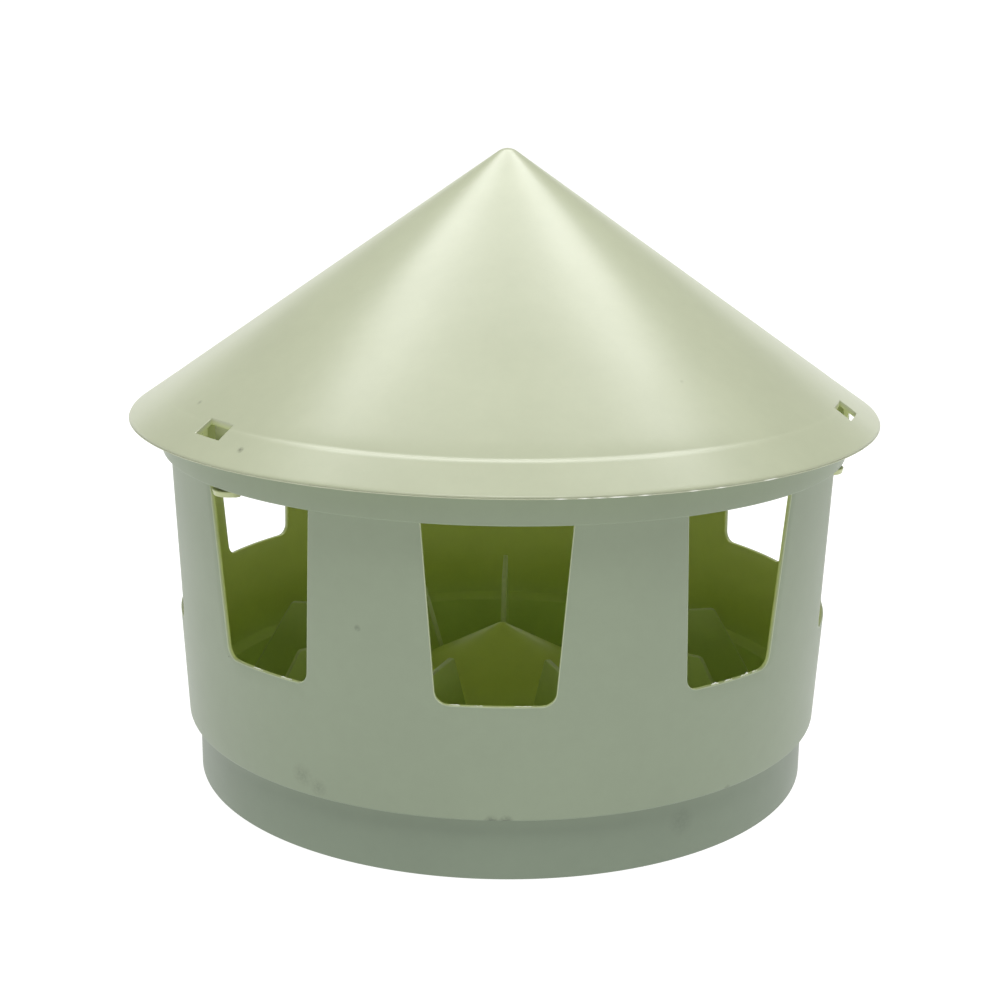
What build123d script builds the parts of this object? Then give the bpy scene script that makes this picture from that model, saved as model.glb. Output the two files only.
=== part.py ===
"""Covered round feeder for pigeons and other small poultry.

Two mouldings: a round body and a conical roof held on it by three snap hooks. The body's
tray has a feed-spreading cone and nine dividers; its tapered wall has nine feeding windows
under a collar. Each moulding is written as its functional sections, which meet face to face.
Frame: millimetres, +Z up, origin at the centre of the underside, window 1 faces -Y.
"""
from build123d import *
from math import cos, degrees, radians, sin, tan
import os

# --- driving dimensions ---------------------------------------------------------------
window_count = 9
hook_count = 3
body_wall = 1.8                # wall of tray, windowed wall and collar

tray_radius = 117.5            # outside of the tray
tray_floor = 2.0
tray_foot_round = 0.5
step_height = 23.0             # where the wall steps out over the tray
step_width = 4.0
step_round = 1.0
ledge_edge = 0.4               # thickness of the inner ledge where it meets the tray wall
ledge_rise = 2.6               # how far the inner ledge slopes up towards the wall

cone_apex_height = 52.0        # where the two flanks of the spreader would meet
cone_slope = 29.5              # degrees above level
cone_tip_round = 4.0
cone_wall = 1.8

divider_top_height = 53.9
divider_top_inner = 51.0       # radius where the level top edge starts
divider_top_setback = 30.0     # from the tray's inside to where the top edge ends
divider_inner_slope = 63.0     # degrees above level
divider_outer_slope = 60.5
divider_top_thickness = 2.0
divider_foot_thickness = 3.0
divider_corner_round = 2.5

sill_height = 64.2
wall_taper = 2.95              # degrees, wider upwards
window_height = 62.0           # from the sill to the underside of the collar
window_sill_width = 39.0       # between the side edges, carried down to the sill
window_top_width = 48.4        # at the underside of the collar
window_corner_round = 4.6

collar_depth = 15.3
collar_step = 1.5              # how far the collar stands out from the wall
collar_lean = 0.4              # how much wider the collar is at its top
collar_edge_round = 0.5

roof_overhang = 11.7           # from the collar's underside to the brim
roof_rim_drop = 3.6            # from the collar's top down to the brim's lower edge
roof_rim_edge = 0.7            # height of the brim's upright edge
roof_slope = 34.77             # degrees above level
roof_wall = 1.8
roof_tip_round = 6.0
roof_rib_inset = 0.1           # seat rib kept inside both faces of the collar wall

hook_width = 12.4
hook_post_gap = 0.8            # between the hook and the window's side under the collar
hook_leg_wall = 2.0
hook_leg_clearance = 0.4       # between the hook leg and the inside of the wall
hook_catch_gap = 0.7           # play between the catch and the underside of the collar
hook_reach = 4.3               # how far the rounded catch stands out from the leg
hook_catch_thickness = 2.1
core_hole_clearance = 0.7      # around the catch, seen from above, in the roof hole over it
core_hole_depth = 6.2          # radial size of the hole in the roof

# --- worked-out places ----------------------------------------------------------------
window_pitch = 360 / window_count
front = -90                    # window 1 looks along -Y
window_angles = [front + number * window_pitch for number in range(window_count)]
post_angles = [angle + window_pitch / 2 for angle in window_angles]


def wall_outer(height):
    """Outside radius of the tapered wall."""
    return tray_radius + step_width + (height - step_height) * tan(radians(wall_taper))


def wall_inner(height):
    """Inside radius of the tapered wall."""
    return wall_outer(height) - body_wall


def roof_top(radius):
    """Height of the roof's outer face, away from its rounded tip."""
    return roof_rim_height + roof_rim_edge + (roof_radius - radius) * tan(radians(roof_slope))


def roof_under(radius):
    """Height of the roof's inner face."""
    return roof_top(radius) - roof_drop


tray_inner = tray_radius - body_wall
divider_top_outer = tray_inner - divider_top_setback
cone_drop = cone_wall / cos(radians(cone_slope))
cone_outer_foot = (cone_apex_height - tray_floor) / tan(radians(cone_slope))
cone_inner_foot = (cone_apex_height - cone_drop) / tan(radians(cone_slope))

collar_height = sill_height + window_height
collar_top_height = collar_height + collar_depth
collar_outer = wall_outer(collar_height) + collar_step
collar_inner = collar_outer - body_wall

roof_radius = collar_outer + roof_overhang
roof_rim_height = collar_top_height - roof_rim_drop
roof_apex_height = roof_top(0)
roof_drop = roof_wall / cos(radians(roof_slope))
roof_inner_rim = roof_radius - (roof_drop - roof_rim_edge) / tan(radians(roof_slope))
rib_inner = collar_inner + collar_lean + roof_rib_inset
rib_outer = collar_outer + collar_lean - roof_rib_inset

hook_leg_outer = wall_inner(collar_height) - hook_leg_clearance
hook_leg_inner = hook_leg_outer - hook_leg_wall
hook_catch_centre = hook_leg_outer + hook_reach - hook_width / 2
hook_bottom_height = collar_height - hook_catch_gap - hook_catch_thickness
hook_arc = degrees(hook_width / hook_leg_outer)
hook_offset = degrees((window_top_width - hook_width) / 2 - hook_post_gap) / hook_leg_outer
windows_per_hook = window_count // hook_count
hook_angles = [window_angles[number * windows_per_hook - 1] - hook_offset
               for number in range(hook_count)]
core_hole_start = hook_leg_outer + core_hole_clearance
core_hole_width = hook_width + 2 * core_hole_clearance


def conical_shell(apex_height, slope, tip_round, wall, inner_rim, outer_rim):
    """Half section of a conical shell with a rounded tip; outer_rim runs up its rim."""
    lean = radians(slope)
    centre = apex_height - tip_round / cos(lean)
    inner_round = tip_round - wall
    Polyline((inner_round * sin(lean), centre + inner_round * cos(lean)), inner_rim, *outer_rim,
             (tip_round * sin(lean), centre + tip_round * cos(lean)))
    CenterArc((0, centre), tip_round, 90 - slope, slope)
    Line((0, centre + tip_round), (0, centre + inner_round))
    CenterArc((0, centre), inner_round, 90 - slope, slope)


def write_part(part, name):
    """Label one finished piece and write it."""
    part.label = name
    export_step(part, f"parts/{name}.step")


def write_copies(part, name, angles):
    """Write one copy of a piece for each angle about the vertical axis."""
    for number, angle in enumerate(angles, 1):
        with BuildPart() as placed:
            add(part, rotation=(0, 0, angle))
        write_part(placed.part, f"{name}_{number}")


os.makedirs("parts", exist_ok=True)

# --- body: tray, spreader cone and dividers -------------------------------------------
with BuildPart() as tray_dish:
    with BuildSketch(Plane.XZ) as dish_section:
        with BuildLine():
            Polyline((cone_outer_foot, 0), (tray_radius, 0), (tray_radius, step_height),
                     (tray_inner, step_height), (tray_inner, tray_floor),
                     (cone_outer_foot, tray_floor), close=True)
        make_face()
        foot_corner = dish_section.vertices().group_by(Axis.Y)[0].sort_by(Axis.X)[-1]
        fillet(foot_corner, tray_foot_round)
    revolve(axis=Axis.Z)
write_part(tray_dish.part, "tray_dish")

with BuildPart() as spreader_cone:
    with BuildSketch(Plane.XZ):
        with BuildLine():
            conical_shell(cone_apex_height, cone_slope, cone_tip_round, cone_wall,
                          (cone_inner_foot, 0),
                          [(cone_outer_foot, 0), (cone_outer_foot, tray_floor)])
        make_face()
    revolve(axis=Axis.Z)
write_part(spreader_cone.part, "spreader_cone")

divider_height = divider_top_height - tray_floor
divider_foot_inner = divider_top_inner - divider_height / tan(radians(divider_inner_slope))
divider_foot_outer = divider_top_outer + divider_height / tan(radians(divider_outer_slope))

with BuildPart() as divider:
    with BuildSketch(Plane.YZ):
        with BuildLine():
            Polyline((-divider_foot_thickness / 2, tray_floor),
                     (divider_foot_thickness / 2, tray_floor),
                     (divider_top_thickness / 2, divider_top_height),
                     (-divider_top_thickness / 2, divider_top_height), close=True)
        make_face()
    extrude(amount=tray_radius)
    with BuildSketch(Plane.XZ) as divider_outline:
        with BuildLine():
            Polyline((divider_foot_inner, tray_floor), (divider_foot_outer, tray_floor),
                     (divider_top_outer, divider_top_height),
                     (divider_top_inner, divider_top_height), close=True)
        make_face()
        fillet(divider_outline.vertices().group_by(Axis.Y)[-1], divider_corner_round)
    extrude(amount=divider_foot_thickness, both=True, mode=Mode.INTERSECT)
    with BuildSketch(Plane.XZ):
        with BuildLine():
            Polyline((0, 0), (cone_outer_foot, 0), (cone_outer_foot, tray_floor),
                     (0, cone_apex_height), close=True)
        make_face()
    revolve(axis=Axis.Z, mode=Mode.SUBTRACT)
write_copies(divider.part, "divider", post_angles)

# --- body: windowed wall and collar ---------------------------------------------------
ledge_top = step_height + ledge_edge + ledge_rise

with BuildPart() as sill_band:
    with BuildSketch(Plane.XZ) as band_section:
        with BuildLine():
            Polyline((tray_inner, step_height), (wall_outer(step_height), step_height),
                     (wall_outer(sill_height), sill_height),
                     (wall_inner(sill_height), sill_height), (wall_inner(ledge_top), ledge_top),
                     (tray_inner, step_height + ledge_edge), close=True)
        make_face()
        step_corner = band_section.vertices().group_by(Axis.Y)[0].sort_by(Axis.X)[-1]
        fillet(step_corner, step_round)
    revolve(axis=Axis.Z)
write_part(sill_band.part, "sill_band")

with BuildPart() as window_void:
    with BuildSketch(Plane.YZ.offset(tray_inner)) as window_shape:
        with BuildLine():
            Polyline((-window_sill_width / 2, sill_height), (window_sill_width / 2, sill_height),
                     (window_top_width / 2, collar_height),
                     (-window_top_width / 2, collar_height), close=True)
        make_face()
        fillet(window_shape.vertices().group_by(Axis.Y)[0], window_corner_round)
    extrude(amount=roof_radius - tray_inner)

with BuildPart() as window_post:
    with BuildSketch(Plane.XZ):
        with BuildLine():
            Polyline((wall_inner(sill_height), sill_height),
                     (wall_outer(sill_height), sill_height),
                     (wall_outer(collar_height), collar_height),
                     (wall_inner(collar_height), collar_height), close=True)
        make_face()
    revolve(axis=Axis.Z, revolution_arc=window_pitch)
    add(window_void.part, mode=Mode.SUBTRACT)
    add(window_void.part, rotation=(0, 0, window_pitch), mode=Mode.SUBTRACT)
write_copies(window_post.part, "window_post", window_angles)

with BuildPart() as collar_rim:
    with BuildSketch(Plane.XZ) as collar_section:
        with BuildLine():
            Polyline((wall_inner(collar_height), collar_height), (collar_outer, collar_height),
                     (collar_outer + collar_lean, collar_top_height),
                     (collar_inner + collar_lean, collar_top_height),
                     (collar_inner, collar_height + body_wall),
                     (wall_inner(collar_height), collar_height + body_wall), close=True)
        make_face()
        collar_corner = collar_section.vertices().group_by(Axis.Y)[0].sort_by(Axis.X)[-1]
        fillet(collar_corner, collar_edge_round)
    revolve(axis=Axis.Z)
write_part(collar_rim.part, "collar_rim")

# --- roof -----------------------------------------------------------------------------
with BuildPart() as roof_shell:
    with BuildSketch(Plane.XZ):
        with BuildLine():
            conical_shell(roof_apex_height, roof_slope, roof_tip_round, roof_wall,
                          (roof_inner_rim, roof_rim_height),
                          [(roof_radius, roof_rim_height),
                           (roof_radius, roof_rim_height + roof_rim_edge)])
        make_face()
        with BuildLine():
            Polyline((rib_inner, collar_top_height), (rib_outer, collar_top_height),
                     (rib_outer, roof_under(rib_outer) + roof_wall / 2),
                     (rib_inner, roof_under(rib_inner) + roof_wall / 2), close=True)
        make_face()
    revolve(axis=Axis.Z)
    with Locations(*[Rotation(0, 0, angle) * Location((core_hole_start, 0, roof_rim_height))
                     for angle in hook_angles]):
        Box(core_hole_depth, core_hole_width, roof_apex_height - roof_rim_height,
            align=(Align.MIN, Align.CENTER, Align.MIN), mode=Mode.SUBTRACT)
write_part(roof_shell.part, "roof_shell")

with BuildPart() as snap_hook:
    with BuildSketch(Plane.XZ):
        with BuildLine():
            Polyline((hook_leg_inner, hook_bottom_height), (hook_leg_outer, hook_bottom_height),
                     (hook_leg_outer, roof_under(hook_leg_outer)),
                     (hook_leg_inner, roof_under(hook_leg_inner)), close=True)
        make_face()
    revolve(axis=Axis.Z, revolution_arc=hook_arc)
    with BuildSketch(Plane.XY.offset(hook_bottom_height)):
        with PolarLocations(hook_catch_centre, 1, start_angle=hook_arc / 2):
            Circle(hook_width / 2)
        Circle(hook_leg_inner, mode=Mode.SUBTRACT)
    extrude(amount=hook_catch_thickness)
write_copies(snap_hook.part, "snap_hook", [angle - hook_arc / 2 for angle in hook_angles])
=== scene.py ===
import random
from math import asin, atan2, cos, degrees, pi, radians, sin, sqrt, tan

import bmesh
import bpy
from mathutils import Matrix, Vector


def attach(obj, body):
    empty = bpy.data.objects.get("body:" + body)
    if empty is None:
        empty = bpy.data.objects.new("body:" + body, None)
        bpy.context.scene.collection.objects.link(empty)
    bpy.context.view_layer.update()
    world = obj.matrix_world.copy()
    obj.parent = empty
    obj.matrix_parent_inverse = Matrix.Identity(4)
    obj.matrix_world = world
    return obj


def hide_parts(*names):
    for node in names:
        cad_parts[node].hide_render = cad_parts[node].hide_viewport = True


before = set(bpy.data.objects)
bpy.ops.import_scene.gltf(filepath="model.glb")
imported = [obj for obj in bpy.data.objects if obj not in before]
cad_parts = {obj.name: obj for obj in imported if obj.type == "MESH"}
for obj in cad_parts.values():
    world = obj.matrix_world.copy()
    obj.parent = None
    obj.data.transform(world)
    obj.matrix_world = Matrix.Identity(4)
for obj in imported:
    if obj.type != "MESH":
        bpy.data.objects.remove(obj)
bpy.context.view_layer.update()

# Sizes are in millimetres, as in the CAD model. Meshes are made in metres.
MM = 0.001

# --- driving dimensions, the CAD model's own ------------------------------------------
WINDOWS = 9
PITCH = 360 / WINDOWS
FRONT = -90
WALL = 1.8
TRAY_R, TRAY_FLOOR, FOOT_ROUND, STEP_Z = 117.5, 2.0, 0.5, 23.0
CONE_APEX, CONE_SLOPE, CONE_TIP_ROUND, CONE_WALL = 52.0, 29.5, 4.0, 1.8
DIVIDER_TOP, DIVIDER_TOP_IN, DIVIDER_TOP_OUT = 53.9, 51.0, 85.7
DIVIDER_SLOPE_IN, DIVIDER_SLOPE_OUT = 63.0, 60.5
DIVIDER_THICK_TOP, DIVIDER_THICK_FOOT, DIVIDER_ROUND = 2.0, 3.0, 2.5
WALL_R_STEP, WALL_TAPER, STEP_ROUND = 121.5, 2.95, 1.0
LEDGE_EDGE, LEDGE_RISE = 0.4, 2.6
SILL_Z, SILL_WIDTH, WINDOW_TOP_WIDTH, WINDOW_ROUND = 64.2, 39.0, 48.4, 4.6
COLLAR_Z, COLLAR_TOP_Z, COLLAR_STEP, COLLAR_LEAN = 126.2, 141.5, 1.5, 0.4
ROOF_R, RIM_Z, RIM_EDGE, ROOF_SLOPE = 140.018, 137.9, 0.7, 34.77
ROOF_WALL, ROOF_TIP_ROUND, RIB_INSET = 1.8, 6.0, 0.1
HOOK_OFFSET, HOOK_WIDTH, HOOK_LEG, HOOK_CLEARANCE = -7.908, 12.4, 2.0, 0.4
HOOK_GAP, HOOK_REACH, HOOK_CATCH = 0.7, 4.3, 2.1
HOLE_CLEARANCE, HOLE_DEPTH = 0.7, 6.2
EDGE = 0.4                     # rounding of the moulded edges of the windows


def wall_out(z):
    return WALL_R_STEP + (z - STEP_Z) * tan(radians(WALL_TAPER))


def wall_in(z):
    return wall_out(z) - WALL


def roof_top(r):
    return RIM_Z + RIM_EDGE + (ROOF_R - r) * tan(radians(ROOF_SLOPE))


ROOF_DROP = ROOF_WALL / cos(radians(ROOF_SLOPE))
HOOK_ANGLES = [FRONT + PITCH * (3 * n - 1) + HOOK_OFFSET for n in range(3)]


# --- materials -------------------------------------------------------------------------
def plastic(name, roughness, speck_share, marks):
    """Satin moulded plastic. Its base colour is the mesh's own paint, varied by noise."""
    mat = bpy.data.materials.new(name)
    mat.use_nodes = True
    nodes, links = mat.node_tree.nodes, mat.node_tree.links
    shader = nodes["Principled BSDF"]
    coords = nodes.new("ShaderNodeTexCoord")

    def noise(scale, detail, rough=0.5):
        n = nodes.new("ShaderNodeTexNoise")
        n.inputs["Scale"].default_value = scale
        n.inputs["Detail"].default_value = detail
        n.inputs["Roughness"].default_value = rough
        links.new(coords.outputs["Object"], n.inputs["Vector"])
        return n.outputs["Fac"]

    def math(kind, a, b):
        m = nodes.new("ShaderNodeMath")
        m.operation = kind
        for socket, value in zip(m.inputs, (a, b)):
            if isinstance(value, (int, float)):
                socket.default_value = value
            else:
                links.new(value, socket)
        return m.outputs[0]

    def spread(value, low, high):
        r = nodes.new("ShaderNodeMapRange")
        r.inputs["From Min"].default_value = 0.3
        r.inputs["From Max"].default_value = 0.7
        r.inputs["To Min"].default_value = low
        r.inputs["To Max"].default_value = high
        links.new(value, r.inputs["Value"])
        return r.outputs["Result"]

    paint = nodes.new("ShaderNodeVertexColor")
    paint.layer_name = "paint"
    cloud = spread(noise(14, 4), 0.965, 1.035)
    mottle = spread(noise(160, 3, 0.7), 0.985, 1.015)
    shade = math("MULTIPLY", cloud, mottle)
    # Small dirt specks: the middles of a few cells.
    cells = nodes.new("ShaderNodeTexVoronoi")
    cells.inputs["Scale"].default_value = 75
    links.new(coords.outputs["Object"], cells.inputs["Vector"])
    cell_tint = nodes.new("ShaderNodeSeparateColor")
    links.new(cells.outputs["Color"], cell_tint.inputs["Color"])
    chosen = math("GREATER_THAN", cell_tint.outputs["Red"], 1 - speck_share)
    size = math("MULTIPLY", cell_tint.outputs["Green"], 0.045)
    near = math("LESS_THAN", cells.outputs["Distance"], size)
    speck = math("MULTIPLY", chosen, near)
    dirt = math("SUBTRACT", 1.0, math("MULTIPLY", speck, 0.5))
    shade = math("MULTIPLY", shade, dirt)
    # Dark smudges, soft-edged and broken up by noise, at fixed places on the object.
    grit = spread(noise(900, 4, 0.8), 0, 1)
    for place, reach, strength in marks:
        away = nodes.new("ShaderNodeVectorMath")
        away.operation = "DISTANCE"
        links.new(coords.outputs["Object"], away.inputs[0])
        away.inputs[1].default_value = [v * MM for v in place]
        fade = nodes.new("ShaderNodeMapRange")
        fade.inputs["From Min"].default_value = 0
        fade.inputs["From Max"].default_value = reach * MM
        fade.inputs["To Min"].default_value = strength
        fade.inputs["To Max"].default_value = 0
        links.new(away.outputs["Value"], fade.inputs["Value"])
        smudge = math("MULTIPLY", fade.outputs["Result"], grit)
        shade = math("MULTIPLY", shade, math("SUBTRACT", 1.0, smudge))
    tone = nodes.new("ShaderNodeVectorMath")
    tone.operation = "SCALE"
    links.new(paint.outputs["Color"], tone.inputs[0])
    links.new(shade, tone.inputs["Scale"])
    links.new(tone.outputs[0], shader.inputs["Base Color"])
    rough = math("ADD", spread(noise(30, 2), -0.02, 0.02), roughness)
    links.new(rough, shader.inputs["Roughness"])
    # Mould texture: fine grain over a slow waviness.
    grain = nodes.new("ShaderNodeBump")
    grain.inputs["Strength"].default_value = 0.04
    grain.inputs["Distance"].default_value = 0.0001
    links.new(noise(1500, 2), grain.inputs["Height"])
    wave = nodes.new("ShaderNodeBump")
    wave.inputs["Strength"].default_value = 0.3
    wave.inputs["Distance"].default_value = 0.0006
    links.new(noise(18, 1), wave.inputs["Height"])
    links.new(grain.outputs["Normal"], wave.inputs["Normal"])
    links.new(wave.outputs["Normal"], shader.inputs["Normal"])
    shader.inputs["IOR"].default_value = 1.49
    shader.inputs["Specular IOR Level"].default_value = 0.5
    return mat


OUTSIDE = (0.243, 0.292, 0.201)
# Painted shade: the tray's outside is painted darker than the wall above the step.
TRAY_SHADED = (0.187, 0.233, 0.165)
# Painted highlight for rounded edges: window rims, divider tops and the feet of the sill flash.
EDGE_HIGHLIGHT = (0.52, 0.58, 0.38)
CHIP_LIGHT = (0.82, 0.84, 0.76)
# Painted light: the insides of the body are painted a bright olive for light shining through the
# thin plastic, less yellow low in the tray.
INSIDE_GLOW = (0.62, 0.71, 0.17)
INSIDE_LOW_GLOW = (0.60, 0.71, 0.26)
ROOF_TINT = (0.408, 0.437, 0.303)
# Painted light: the roof's underside and its hooks are painted brighter and yellower for light
# shining through the roof.
ROOF_INSIDE_GLOW = (0.52, 0.58, 0.26)

# Smudges: place in millimetres, reach, strength.
# The first three darken short stretches of the corner under the step.
BODY_MARKS = [((-1, -121.5, 22.6), 3.0, 1.0), ((4, -121.5, 22.6), 3.0, 1.0),
              ((80, -91.5, 22.8), 2.0, 1.0), ((-66, -103, 30), 5.0, 0.35),
              ((-60, -106, 27), 4.0, 0.35), ((64, -98.5, 14), 6.0, 0.3),
              ((-45, -116, 88), 1.4, 0.9)]
ROOF_MARKS = [((-84, -103, 143.5), 1.6, 1.0), ((-104, -64, 151), 1.4, 0.7),
              ((60, -84, 165), 1.2, 0.6)]

body_plastic = plastic("body_plastic", 0.42, 0.05, BODY_MARKS)
roof_plastic = plastic("roof_plastic", 0.32, 0.06, ROOF_MARKS)


def mix(a, b, t):
    return tuple(x + (y - x) * t for x, y in zip(a, b))


# --- mesh builders ---------------------------------------------------------------------
class Shape:
    """Vertices with a paint colour, and faces, for one piece."""

    def __init__(self):
        self.points, self.paints, self.faces = [], [], []
        self.marked_edges = set()

    def add(self, r, angle, z, paint):
        """A vertex at a radius and angle in degrees about the vertical axis."""
        a = radians(angle)
        return self.add_xyz((r * cos(a), r * sin(a), z), paint)

    def add_xyz(self, point, paint):
        self.points.append([v * MM for v in point])
        self.paints.append(paint)
        return len(self.points) - 1

    def face(self, *corners):
        corners = [c for n, c in enumerate(corners) if c != corners[n - 1]]
        if len(corners) > 2:
            self.faces.append(corners)

    def strip(self, row_a, row_b):
        """Quads between two rows of vertices."""
        for n in range(len(row_a) - 1):
            self.face(row_a[n], row_a[n + 1], row_b[n + 1], row_b[n])

    def piece(self, name, material, sharp=40):
        mesh = bpy.data.meshes.new(name)
        mesh.from_pydata(self.points, [], self.faces)
        layer = mesh.color_attributes.new("paint", "FLOAT_COLOR", "POINT")
        for n, paint in enumerate(self.paints):
            layer.data[n].color = (*paint, 1)
        mesh.materials.append(material)
        obj = bpy.data.objects.new(name, mesh)
        bpy.context.scene.collection.objects.link(obj)
        if self.marked_edges:
            weights = mesh.attributes.new("bevel_weight_edge", "FLOAT", "EDGE")
            for n, edge in enumerate(mesh.edges):
                if tuple(sorted(edge.vertices)) in self.marked_edges:
                    weights.data[n].value = 1
        mesh.update()
        bm_outward(mesh)
        mesh.shade_smooth()
        mesh.set_sharp_from_angle(angle=radians(sharp))
        return obj


def bm_outward(mesh):
    """All faces look outwards."""
    bm = bmesh.new()
    bm.from_mesh(mesh)
    bmesh.ops.recalc_face_normals(bm, faces=bm.faces)
    bm.to_mesh(mesh)
    bm.free()


def rounded(corners, steps=5):
    """Points along (r, z, round) corners, with each round corner as an arc."""
    out = []
    for n, (r, z, size) in enumerate(corners):
        if not size:
            out.append((r, z))
            continue
        here = Vector((r, z))
        before = (Vector(corners[n - 1][:2]) - here).normalized()
        after = (Vector(corners[n + 1][:2]) - here).normalized()
        half = before.angle(after) / 2
        reach = size / tan(half)
        centre = here + (before + after).normalized() * size / sin(half)
        start = here + before * reach - centre
        end = here + after * reach - centre
        turn = atan2(start.x * end.y - start.y * end.x, start.dot(end))
        for k in range(steps + 1):
            spin = Matrix.Rotation(turn * k / steps, 2)
            out.append(tuple(centre + spin @ start))
    return out


def even(points, step):
    """The same line with long runs divided."""
    out = [points[0]]
    for a, b in zip(points, points[1:]):
        count = max(1, round((Vector(b) - Vector(a)).length / step))
        out += [tuple(Vector(a).lerp(Vector(b), k / count)) for k in range(1, count + 1)]
    return out


def tip_arc(apex_z, slope, size, steps=6):
    """Points (r, z) of a rounded cone tip, from the axis outwards."""
    lean = radians(slope)
    centre = apex_z - size / cos(lean)
    return [(size * sin(lean * k / steps), centre + size * cos(lean * k / steps))
            for k in range(steps + 1)]


def revolve_rows(shape, line, angles, paint_of, first=None, last=None):
    """Rows of vertices for a line of (r, z) points, joined; a point on the axis is one vertex."""
    previous = first
    for n, (r, z) in enumerate(line):
        if r < 1e-6:
            row = [shape.add(0, 0, z, paint_of(r, z))] * (len(angles) + 1)
        elif last and n == len(line) - 1:
            row = last
        else:
            row = [shape.add(r, a, z, paint_of(r, z)) for a in angles]
            row.append(row[0])
        if previous:
            shape.strip(previous, row)
        previous = row
    return previous


# --- body: tray, spreader cone and windowed wall in one skin ----------------------------
SILL_STEPS, ARC_STEPS, SIDE_STEPS, POST_STEPS = 8, 8, 20, 14
RIM_LOOPS = [(EDGE, 0), (EDGE * 0.29, EDGE * 0.29), (0, EDGE),
             (0, WALL - EDGE), (EDGE * 0.29, WALL - EDGE * 0.29), (EDGE, WALL)]
# Across each window's rim the paint runs from the outside colour to the inside's painted glow,
# with a painted highlight on the outer rounding.
RIM_TONES = [0.0, 0.0, 0.25, 0.75, 0.95, 1.0]
RIM_HIGHLIGHT = [0.0, 0.8, 0.5, 0.1, 0.0, 0.0]
POST_EMBED = 0.5


def window_outline():
    """Right half of a window from the middle of its sill up: (y, z, normal y, normal z)."""
    side = Vector(((WINDOW_TOP_WIDTH - SILL_WIDTH) / 2, COLLAR_Z - SILL_Z)).normalized()
    run = WINDOW_ROUND * (1 - side.x) / side.y
    foot = Vector((SILL_WIDTH / 2, SILL_Z)) + side * run
    normal = Vector((side.y, -side.x))
    centre = foot - normal * WINDOW_ROUND
    out = [(centre.x * k / SILL_STEPS, SILL_Z, 0, -1) for k in range(SILL_STEPS)]
    low, high = -pi / 2, atan2(normal.y, normal.x)
    for k in range(ARC_STEPS + 1):
        a = low + (high - low) * k / ARC_STEPS
        out.append((centre.x + WINDOW_ROUND * cos(a), centre.y + WINDOW_ROUND * sin(a),
                    cos(a), sin(a)))
    top = (COLLAR_Z + POST_EMBED - foot.y) / side.y
    for k in range(1, SIDE_STEPS + 1):
        p = foot + side * top * k / SIDE_STEPS
        out.append((p.x, p.y, normal.x, normal.y))
    return out


def window_loop(shape, middle, inset, depth, paint):
    """One loop round a window, from the top of its lower-angle side to the top of the other."""
    half = window_outline()
    whole = [(-y, z, -ny, nz) for y, z, ny, nz in reversed(half[1:])] + half
    loop = []
    for y, z, ny, nz in whole:
        y, z = y + ny * inset, z + nz * inset
        r = wall_out(z) - depth
        loop.append(shape.add(r, middle + degrees(asin(y / r)), z, paint))
    return loop


def angle_at(shape, vertex):
    x, y, _ = shape.points[vertex]
    return degrees(atan2(y, x))


def post_rows(shape, left, right, depth, paint):
    """Skin of one post between two window edges, on one side of the wall. Bottom row first."""
    rows = []
    for a, b in zip(left, right):
        z = shape.points[a][2] / MM
        start = angle_at(shape, a)
        turn = (angle_at(shape, b) - start) % 360
        inner = [shape.add(wall_out(z) - depth, start + turn * k / POST_STEPS, z, paint)
                 for k in range(1, POST_STEPS)]
        rows.append([a, *inner, b])
    for low, high in zip(rows, rows[1:]):
        shape.strip(low, high)
    return rows


# Below the step the paint turns to the tray's painted shade.
def body_paint(r, z):
    return mix(TRAY_SHADED, OUTSIDE, min(1, max(0, (z - STEP_Z + 0.5) / 1.5)))


# Painted light through the wall on the inside, less yellow towards the tray floor.
def inside_glow_paint(r, z):
    return mix(INSIDE_LOW_GLOW, INSIDE_GLOW, min(1, max(0, (z - STEP_Z) / 12)))


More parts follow.
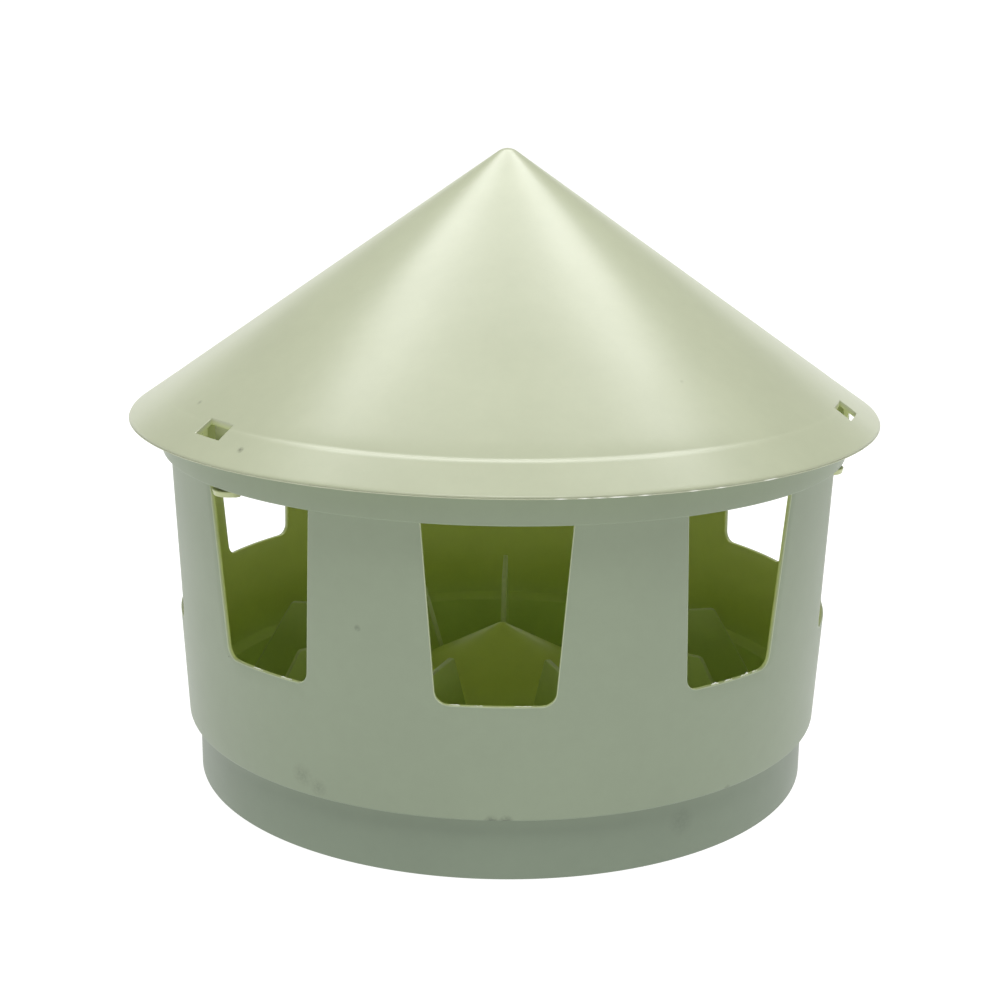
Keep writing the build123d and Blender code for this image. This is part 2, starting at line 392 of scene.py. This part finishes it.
def make_body():
    shape = Shape()
    middles = [FRONT + PITCH * n for n in range(WINDOWS)]
    rim_paints = [mix(mix(OUTSIDE, INSIDE_GLOW, tone), EDGE_HIGHLIGHT, highlight)
                  for tone, highlight in zip(RIM_TONES, RIM_HIGHLIGHT)]
    loops = [[window_loop(shape, m, inset, depth, paint)
              for (inset, depth), paint in zip(RIM_LOOPS, rim_paints)] for m in middles]
    for window in loops:
        for a, b in zip(window, window[1:]):
            shape.strip(a, b)
    side = ARC_STEPS + SIDE_STEPS
    skins = {}
    for loop, depth, paint in ((0, 0, OUTSIDE), (-1, WALL, INSIDE_GLOW)):
        sill_row, tops = [], []
        for n in range(WINDOWS):
            here, following = loops[n][loop], loops[(n + 1) % WINDOWS][loop]
            rows = post_rows(shape, here[-side - 1:], list(reversed(following[:side + 1])),
                             depth, paint)
            sill_row += here[side:-side - 1] + rows[0][:-1]
            tops.append(rows[-1])
        skins[loop] = (sill_row, tops)
    for n in range(WINDOWS):
        outer, inner = skins[0][1][n], skins[-1][1][n]
        rim_low = [loop[-1] for loop in loops[n][1:-1]]
        rim_high = [loop[0] for loop in loops[(n + 1) % WINDOWS][1:-1]]
        shape.face(*outer, *rim_high, *reversed(inner), *reversed(rim_low))

    sill = SILL_Z - EDGE
    cone_drop = CONE_WALL / cos(radians(CONE_SLOPE))
    slope = tan(radians(CONE_SLOPE))
    outer_line = even(rounded([
        (wall_out(sill), sill, 0), (WALL_R_STEP, STEP_Z, STEP_ROUND), (TRAY_R, STEP_Z, 0.3),
        (TRAY_R, 0, FOOT_ROUND), ((CONE_APEX - cone_drop) / slope, 0, 0.3),
        *reversed(tip_arc_corners(CONE_APEX - cone_drop, CONE_SLOPE,
                                  CONE_TIP_ROUND - CONE_WALL))]), 6)
    inner_line = even(rounded([
        *tip_arc_corners(CONE_APEX, CONE_SLOPE, CONE_TIP_ROUND),
        ((CONE_APEX - TRAY_FLOOR) / slope, TRAY_FLOOR, 2.5), (TRAY_R - WALL, TRAY_FLOOR, 1.2),
        (TRAY_R - WALL, STEP_Z + LEDGE_EDGE, 0.5),
        (wall_in(STEP_Z + LEDGE_EDGE + LEDGE_RISE), STEP_Z + LEDGE_EDGE + LEDGE_RISE, 0.6),
        (wall_in(sill), sill, 0)]), 6)
    for loop, line, paint_of in ((0, outer_line[1:], body_paint),
                                 (-1, list(reversed(inner_line))[1:], inside_glow_paint)):
        sill_row = skins[loop][0]
        angles = [angle_at(shape, v) for v in sill_row]
        revolve_rows(shape, line, angles, paint_of, first=[*sill_row, sill_row[0]])
    return shape.piece("body_moulding", body_plastic)


def tip_arc_corners(apex_z, slope, size):
    return [(r, z, 0) for r, z in tip_arc(apex_z, slope, size)]


body = make_body()
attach(body, "feeder_body")
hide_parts("tray_dish", "spreader_cone", "sill_band",
            *[f"window_post_{n + 1}" for n in range(WINDOWS)])


# --- body: collar -----------------------------------------------------------------------
def closed_ring(name, corners, columns, paint_of, material):
    """A ring of round section, from (r, z, round) corners in order."""
    line = rounded([*corners, corners[0]])[:-1]
    line = even([*line, line[0]], 4)
    shape = Shape()
    angles = [360 * n / columns for n in range(columns)]
    rows = [[shape.add(r, a, z, paint_of(r, z)) for a in angles] for r, z in line[:-1]]
    for row in rows:
        row.append(row[0])
    for n, row in enumerate(rows):
        shape.strip(rows[n - 1], row)
    return shape.piece(name, material)


collar_in, collar_out = wall_out(COLLAR_Z) + COLLAR_STEP - WALL, wall_out(COLLAR_Z) + COLLAR_STEP


def collar_paint(r, z):
    # The inside of the collar takes the painted glow of light through the wall.
    return INSIDE_GLOW if r < collar_in + COLLAR_LEAN + 0.3 else OUTSIDE


collar = closed_ring("collar_moulding", [
    (wall_in(COLLAR_Z), COLLAR_Z + WALL, 0), (wall_in(COLLAR_Z), COLLAR_Z, 0.15),
    (collar_out, COLLAR_Z, 0.5), (collar_out + COLLAR_LEAN, COLLAR_TOP_Z, 0.4),
    (collar_in + COLLAR_LEAN, COLLAR_TOP_Z, 0.4), (collar_in, COLLAR_Z + WALL, 0.3)],
    480, collar_paint, body_plastic)
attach(collar, "feeder_body")
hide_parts("collar_rim")


# --- body: dividers ---------------------------------------------------------------------
def make_divider(number, angle):
    slope = tan(radians(CONE_SLOPE))
    rise_in, rise_out = tan(radians(DIVIDER_SLOPE_IN)), tan(radians(DIVIDER_SLOPE_OUT))
    sunk = 0.6
    meet = ((CONE_APEX - sunk - DIVIDER_TOP + DIVIDER_TOP_IN * rise_in) / (rise_in + slope))
    floor = TRAY_FLOOR - sunk
    outline = [(meet, CONE_APEX - sunk - meet * slope, 0),
               (DIVIDER_TOP_IN, DIVIDER_TOP, DIVIDER_ROUND),
               (DIVIDER_TOP_OUT, DIVIDER_TOP, DIVIDER_ROUND),
               (DIVIDER_TOP_OUT + (DIVIDER_TOP - floor) / rise_out, floor, 0),
               ((CONE_APEX - sunk - floor) / slope, floor, 0)]
    line = even(rounded(outline), 5)
    shape = Shape()
    a = radians(angle)

    def point(n, inset, y_side, depth, paint):
        here, before = Vector(line[n]), Vector(line[n - 1])
        after = Vector(line[(n + 1) % len(line)])
        along = ((here - before).normalized() + (after - here).normalized()).normalized()
        r, z = here + Vector((along.y, -along.x)) * inset
        share = (z - TRAY_FLOOR) / (DIVIDER_TOP - TRAY_FLOOR)
        half = (DIVIDER_THICK_FOOT + (DIVIDER_THICK_TOP - DIVIDER_THICK_FOOT) * share) / 2
        y = y_side * (half - depth)
        return shape.add_xyz((r * cos(a) - y * sin(a), r * sin(a) + y * cos(a), z), paint)

    # The divider's rounded top takes a painted highlight.
    top = mix(INSIDE_LOW_GLOW, EDGE_HIGHLIGHT, 0.6)
    steps = [(0.5, 1, 0, INSIDE_LOW_GLOW), (0.146, 1, 0.146, top), (0, 1, 0.5, top),
             (0, -1, 0.5, top), (0.146, -1, 0.146, top), (0.5, -1, 0, INSIDE_LOW_GLOW)]
    rows = [[point(n, *step) for n in range(len(line))] for step in steps]
    for row in rows:
        row.append(row[0])
    for low, high in zip(rows, rows[1:]):
        shape.strip(low, high)
    shape.face(*rows[0][:-1])
    shape.face(*rows[-1][:-1])
    obj = shape.piece(f"divider_fin_{number}", body_plastic, sharp=50)
    obj.modifiers.new("flats", "WEIGHTED_NORMAL").keep_sharp = True
    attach(obj, "feeder_body")
    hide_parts(f"divider_{number}")


for n in range(WINDOWS):
    make_divider(n + 1, FRONT + PITCH * (n + 0.5))


# --- body: moulding flash left on some sills ---------------------------------------------
FLASH_THICK, FLASH_SINK, FLASH_STEP = 0.14, 0.3, 0.55


def make_flash(name, window, spans, seed):
    """Thin ragged shards standing on a sill: each span is a start, an end and a height."""
    draw = random.Random(seed)
    shape = Shape()
    middle = FRONT + PITCH * window
    r = wall_out(SILL_Z) - EDGE - FLASH_THICK
    for start, end, height in spans:
        count = max(2, round((end - start) / FLASH_STEP))
        rows = []
        for k in range(count + 1):
            angle = middle + degrees((start + (end - start) * k / count) / r)
            tall = 0.05 if k in (0, count) else height * draw.uniform(0.15, 1)
            low, high = SILL_Z - FLASH_SINK, SILL_Z + tall
            # The shards' feet take the painted edge highlight; their tops are pale like the lip's
            # chips.
            rows.append([shape.add(r, angle, low, EDGE_HIGHLIGHT),
                         shape.add(r - FLASH_THICK, angle, low, EDGE_HIGHLIGHT),
                         shape.add(r - FLASH_THICK, angle, high, CHIP_LIGHT),
                         shape.add(r, angle, high, CHIP_LIGHT)])
        for a, b in zip(rows, rows[1:]):
            shape.strip([*a, a[0]], [*b, b[0]])
        shape.face(*rows[0])
        shape.face(*rows[-1])
    obj = shape.piece(name, body_plastic, sharp=30)
    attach(obj, "feeder_body")


make_flash("sill_flash_1", 0, [(-15, -11.5, 0.5), (-8, -4, 0.3), (6, 12, 0.25)], 3)
make_flash("sill_flash_2", 1, [(-9, -5.5, 1.6), (-3, 1, 0.5), (5, 9, 0.9), (11, 14, 0.5)], 4)
make_flash("sill_flash_9", 8, [(-6, -1, 0.4), (8, 13, 0.5)], 5)


# --- roof -------------------------------------------------------------------------------
HOLE_START = wall_in(COLLAR_Z) - HOOK_CLEARANCE + HOLE_CLEARANCE
HOLE_END = HOLE_START + HOLE_DEPTH
HOLE_HALF = degrees((HOOK_WIDTH / 2 + HOLE_CLEARANCE) / (HOLE_START + HOLE_DEPTH / 2))
SINK_START, SINK_AT, SINK_END = 120.5, 126.8, 127.5
SINK, SINK_BRIM = 0.42, 0.12   # depth of the crease, and of the brim just outside it
SINK_SHARE_BACK = 0.3          # how much of that depth the crease has away from the front


def roof_columns():
    """Angles of the roof's columns, one degree apart, moved onto the edges of the holes."""
    angles = [float(n) for n in range(-90, 270)]
    for middle in HOOK_ANGLES:
        for edge in (middle - HOLE_HALF, middle + HOLE_HALF):
            edge = (edge + 90) % 360 - 90
            angles[round(edge + 90) % 360] = edge
    return angles


def sink_depth(r, angle):
    """How far the outside of the roof is sunk over the seat rib, deepest at the front."""
    off = abs((angle + 90 + 180) % 360 - 180)
    share = SINK_SHARE_BACK + (1 - SINK_SHARE_BACK) * max(0, cos(radians(min(90, off * 1.6)))) ** 2
    if r < SINK_START or r >= ROOF_R - 0.5:
        return 0
    if r <= SINK_AT:
        return share * SINK * ((r - SINK_START) / (SINK_AT - SINK_START)) ** 2
    if r < SINK_END:
        return share * (SINK - (SINK - SINK_BRIM) * (r - SINK_AT) / (SINK_END - SINK_AT))
    return share * SINK_BRIM * (1 - (r - SINK_END) / (ROOF_R - SINK_END))


LIP_FIRST = 5                  # the lip's light chips start below this point of its edge
CHIP_COLUMNS, CHIP_SHARE = range(5, 48), 0.13


def chipped_columns():
    """Columns of the lip, right of the front, where the moulding flash is bruised white."""
    draw = random.Random(7)
    return {column for column in CHIP_COLUMNS if draw.random() < CHIP_SHARE}


def make_roof():
    apex = roof_top(0)
    chipped = chipped_columns()
    in_round = ROOF_TIP_ROUND - ROOF_WALL
    rib_in = collar_in + COLLAR_LEAN + RIB_INSET
    rib_out = collar_out + COLLAR_LEAN - RIB_INSET

    def under(r):
        return roof_top(r) - ROOF_DROP

    top = tip_arc(apex, ROOF_SLOPE, ROOF_TIP_ROUND)
    top += even([top[-1], (SINK_START, roof_top(SINK_START))], 6)[1:]
    radii = [122, 123.3, 124.4, HOLE_START, 126.1, SINK_AT, 127.15, SINK_END, 128.6, 130,
             HOLE_END, 133.2, 135, 137, 138.5, 139.3]
    top += [(r, roof_top(r)) for r in radii]
    edge = [(ROOF_R - inset, RIM_Z + rise) for inset, rise in (
        (0.40, 0.93), (0.24, 0.62), (0.22, 0.5), (0.36, 0.44), (0.36, 0.38), (0.12, 0.32),
        (0, 0.22), (0, 0.1), (0.14, 0))]
    inner_rim = ROOF_R - (ROOF_DROP - RIM_EDGE) / tan(radians(ROOF_SLOPE))
    below = even([(ROOF_R - 0.14, RIM_Z), (inner_rim, RIM_Z)], 0.8)[1:]
    below += [(r, under(r)) for r in (136.5, 134.5, 133, HOLE_END, 130)]
    below += [(rib_out, under(rib_out)), (rib_out, COLLAR_TOP_Z + 0.2),
              (rib_out - 0.2, COLLAR_TOP_Z), (rib_in + 0.2, COLLAR_TOP_Z),
              (rib_in, COLLAR_TOP_Z + 0.2), (rib_in, under(rib_in)),
              (HOLE_START, under(HOLE_START))]
    tip_under = list(reversed(tip_arc(apex - ROOF_DROP, ROOF_SLOPE, in_round)))
    below += even([(HOLE_START, under(HOLE_START)), tip_under[0]], 6)[1:]
    below += tip_under[1:]
    line = top + edge + below
    angles = roof_columns()
    shape = Shape()
    rows = []
    last_top, last_edge = len(top) - 1, len(top) + len(edge) - 1
    for n, (r, z) in enumerate(line):
        if r < 1e-6:
            rows.append([shape.add(0, 0, z, ROOF_TINT if n == 0 else ROOF_INSIDE_GLOW)]
                        * (len(angles) + 1))
            continue
        # Rows under the roof take the painted glow of light through it.
        paint = ROOF_TINT if n <= last_edge else ROOF_INSIDE_GLOW
        lip = LIP_FIRST < n - last_top <= len(edge)
        row = [shape.add(r, a, z - (sink_depth(r, a) if n <= last_top else 0),
                         CHIP_LIGHT if lip and column in chipped else paint)
               for column, a in enumerate(angles)]
        rows.append([*row, row[0]])
    start_top = next(n for n, p in enumerate(line) if abs(p[0] - HOLE_START) < 1e-6)
    end_top = next(n for n, p in enumerate(line) if abs(p[0] - HOLE_END) < 1e-6)
    under_rows = range(last_edge, len(line))
    end_low = next(n for n in under_rows if abs(line[n][0] - HOLE_END) < 1e-6)
    start_low = next(n for n in under_rows if abs(line[n][0] - HOLE_START) < 1e-6)
    holes = [[n for n, a in enumerate(angles)
              if abs((a - middle + 180) % 360 - 180) <= HOLE_HALF + 1e-6]
             for middle in HOOK_ANGLES]
    open_columns = {column for hole in holes for column in sorted(hole)[:-1]}
    for n in range(len(rows) - 1):
        in_hole_rows = start_top <= n < end_top or end_low <= n < start_low
        for c in range(len(angles)):
            if in_hole_rows and c in open_columns:
                continue
            shape.face(rows[n][c], rows[n][c + 1], rows[n + 1][c + 1], rows[n + 1][c])
    for hole in holes:
        hole = sorted(hole)
        for low, high in ((start_top, start_low), (end_top, end_low)):
            shape.strip([rows[low][c] for c in hole], [rows[high][c] for c in hole])
            for a, b in zip(hole, hole[1:]):
                shape.marked_edges.add(tuple(sorted((rows[low][a], rows[low][b]))))
        for c in (hole[0], hole[-1]):
            shape.face(*[rows[n][c] for n in range(start_top, end_top + 1)],
                       *[rows[n][c] for n in range(end_low, start_low + 1)])
            for n in range(start_top, end_top):
                shape.marked_edges.add(tuple(sorted((rows[n][c], rows[n + 1][c]))))
    obj = shape.piece("roof_moulding", roof_plastic)
    bevel = obj.modifiers.new("hole_edges", "BEVEL")
    bevel.limit_method = "WEIGHT"
    bevel.width = 0.25 * MM
    bevel.segments = 2
    return obj


roof = make_roof()
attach(roof, "roof")
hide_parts("roof_shell")


def make_hook(number, angle):
    leg_out = wall_in(COLLAR_Z) - HOOK_CLEARANCE
    leg_in = leg_out - HOOK_LEG
    centre, size = leg_out + HOOK_REACH - HOOK_WIDTH / 2, HOOK_WIDTH / 2
    low = COLLAR_Z - HOOK_GAP - HOOK_CATCH
    high = COLLAR_Z - HOOK_GAP
    half_width = sqrt(size ** 2 - (leg_out - centre) ** 2)
    shape = Shape()
    a = radians(angle)

    # The hooks are painted partly with the underside's painted glow.
    def at(x, y, z):
        return shape.add_xyz((x * cos(a) - y * sin(a), x * sin(a) + y * cos(a), z),
                             mix(ROOF_TINT, ROOF_INSIDE_GLOW, 0.6))

    def arc(r, z):
        steps = 8
        return [at(sqrt(r * r - y * y), y, z)
                for y in (half_width * (2 * k / steps - 1) for k in range(steps + 1))]

    def nose(z, shrink):
        start = atan2(half_width, sqrt(leg_out ** 2 - half_width ** 2) - centre)
        steps = 16
        turns = [start * (2 * k / steps - 1) for k in range(1, steps)]
        return [at(centre + (size - shrink) * cos(t), (size - shrink) * sin(t), z)
                for t in turns]

    def roof_under(r):
        return roof_top(r) - ROOF_DROP + 0.3

    inner_low, inner_top = arc(leg_in, low), arc(leg_in, roof_under(leg_in))
    leg_high, leg_top = arc(leg_out, high), arc(leg_out, roof_under(leg_out))
    corners = arc(leg_out, low)
    nose_low = [corners[0], *nose(low, 0.5), corners[-1]]
    nose_high = [leg_high[0], *nose(high, 0), leg_high[-1]]
    shape.strip(nose_low, nose_high)
    shape.strip(inner_low, inner_top)
    shape.strip(leg_high, leg_top)
    shape.strip(inner_top, leg_top)
    shape.face(*inner_low, *reversed(nose_low))
    shape.face(*leg_high, *reversed(nose_high[1:-1]))
    for end in (0, -1):
        shape.face(inner_low[end], nose_low[end], leg_high[end], leg_top[end], inner_top[end])
    kept = sorted({c for f in shape.faces for c in f})
    moved = {old: new for new, old in enumerate(kept)}
    shape.points = [shape.points[c] for c in kept]
    shape.paints = [shape.paints[c] for c in kept]
    shape.faces = [[moved[c] for c in f] for f in shape.faces]
    obj = shape.piece(f"roof_hook_{number}", roof_plastic)
    bevel = obj.modifiers.new("soft_edges", "BEVEL")
    bevel.limit_method = "ANGLE"
    bevel.angle_limit = radians(50)
    bevel.width = 0.3 * MM
    bevel.segments = 2
    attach(obj, "roof")
    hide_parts(f"snap_hook_{number}")


for n, angle in enumerate(HOOK_ANGLES):
    make_hook(n + 1, angle)


# --- floor, light and camera --------------------------------------------------------------
BACKDROP_REACH, BACKDROP_HEIGHT = 14, 3.8        # metres
FLOOR_DROP = 0.0003            # metres, so that the floor and the tray's foot don't share a plane


def make_floor():
    """A pale round floor that turns up into a plain backdrop far from the object."""
    columns, reach, height = 96, BACKDROP_REACH, BACKDROP_HEIGHT
    rings = [(reach * 0.93, 0), (reach * 0.98, 0.15), (reach, 0.6), (reach, height)]
    points = [(r * cos(2 * pi * k / columns), r * sin(2 * pi * k / columns), z)
              for r, z in rings for k in range(columns)]
    faces = [tuple(range(columns))]
    for n in range(len(rings) - 1):
        low, high = n * columns, (n + 1) * columns
        faces += [(low + k, low + (k + 1) % columns, high + (k + 1) % columns, high + k)
                  for k in range(columns)]
    mesh = bpy.data.meshes.new("floor")
    mesh.from_pydata(points, [], faces)
    mat = bpy.data.materials.new("floor_paint")
    mat.use_nodes = True
    shader = mat.node_tree.nodes["Principled BSDF"]
    shader.inputs["Base Color"].default_value = (0.2, 0.2, 0.2, 1)
    shader.inputs["Emission Color"].default_value = (1, 1, 1, 1)
    shader.inputs["Emission Strength"].default_value = 0.97
    shader.inputs["Roughness"].default_value = 0.9
    shader.inputs["Specular IOR Level"].default_value = 0.1
    mesh.materials.append(mat)
    obj = bpy.data.objects.new("floor", mesh)
    obj.location.z = -FLOOR_DROP
    bpy.context.scene.collection.objects.link(obj)


def area_light(name, place, target, size_x, size_y, power, colour=(1, 1, 1)):
    data = bpy.data.lights.new(name, "AREA")
    data.shape = "RECTANGLE"
    data.size, data.size_y = size_x, size_y
    data.energy = power
    data.color = colour
    obj = bpy.data.objects.new(name, data)
    obj.location = place
    obj.rotation_euler = (Vector(target) - Vector(place)).to_track_quat("-Z", "Y").to_euler()
    bpy.context.scene.collection.objects.link(obj)


make_floor()
# One wide softbox overhead and slightly behind gives the roof its bands; one in front fills.
area_light("softbox_over", (0.01, 0.71, 1.68), (0.01, 0.711, 0), 1.83, 0.68, 30)
area_light("softbox_front", (0, -0.8, 1.75), (0, 0, 0.1), 1.4, 0.7, 20)


WORLD_STRENGTH = 0.18


def make_world():
    """Even white light from all round."""
    world = bpy.data.worlds.new("studio")
    world.use_nodes = True
    world.node_tree.nodes["Background"].inputs["Color"].default_value = (1, 1, 1, 1)
    world.node_tree.nodes["Background"].inputs["Strength"].default_value = WORLD_STRENGTH
    bpy.context.scene.world = world


make_world()
bpy.context.scene.view_settings.view_transform = "Standard"

# The camera stands in front, a little to one side, and looks slightly down.
CAMERA_DISTANCE, CAMERA_HEIGHT, CAMERA_AZIMUTH = 0.66027, 0.2749, 0.852
CAMERA_PITCH, CAMERA_YAW, CAMERA_ROLL = 14.768, -0.1155, 0.6735
FOCAL_SHARE = 1.76891          # focal length as a share of the picture's long side

camera = bpy.data.cameras.new("camera")
camera.sensor_width = 36
camera.lens = 36 * FOCAL_SHARE
camera.clip_start = 0.01
camera_obj = bpy.data.objects.new("camera", camera)
bpy.context.scene.collection.objects.link(camera_obj)
pitch, yaw, roll = radians(CAMERA_PITCH), radians(CAMERA_YAW), radians(CAMERA_ROLL)
forward = Vector((sin(yaw) * cos(pitch), cos(yaw) * cos(pitch), -sin(pitch)))
right = Vector((cos(yaw), -sin(yaw), 0))
up = right.cross(forward)
side = right * cos(roll) + up * sin(roll)
above = up * cos(roll) - right * sin(roll)
turn = Matrix.Rotation(radians(CAMERA_AZIMUTH), 4, "Z")
pose = Matrix((side, above, -forward)).transposed().to_4x4()
camera_obj.matrix_world = (turn @ Matrix.Translation((0, -CAMERA_DISTANCE, CAMERA_HEIGHT))
                           @ pose)
bpy.context.scene.camera = camera_obj
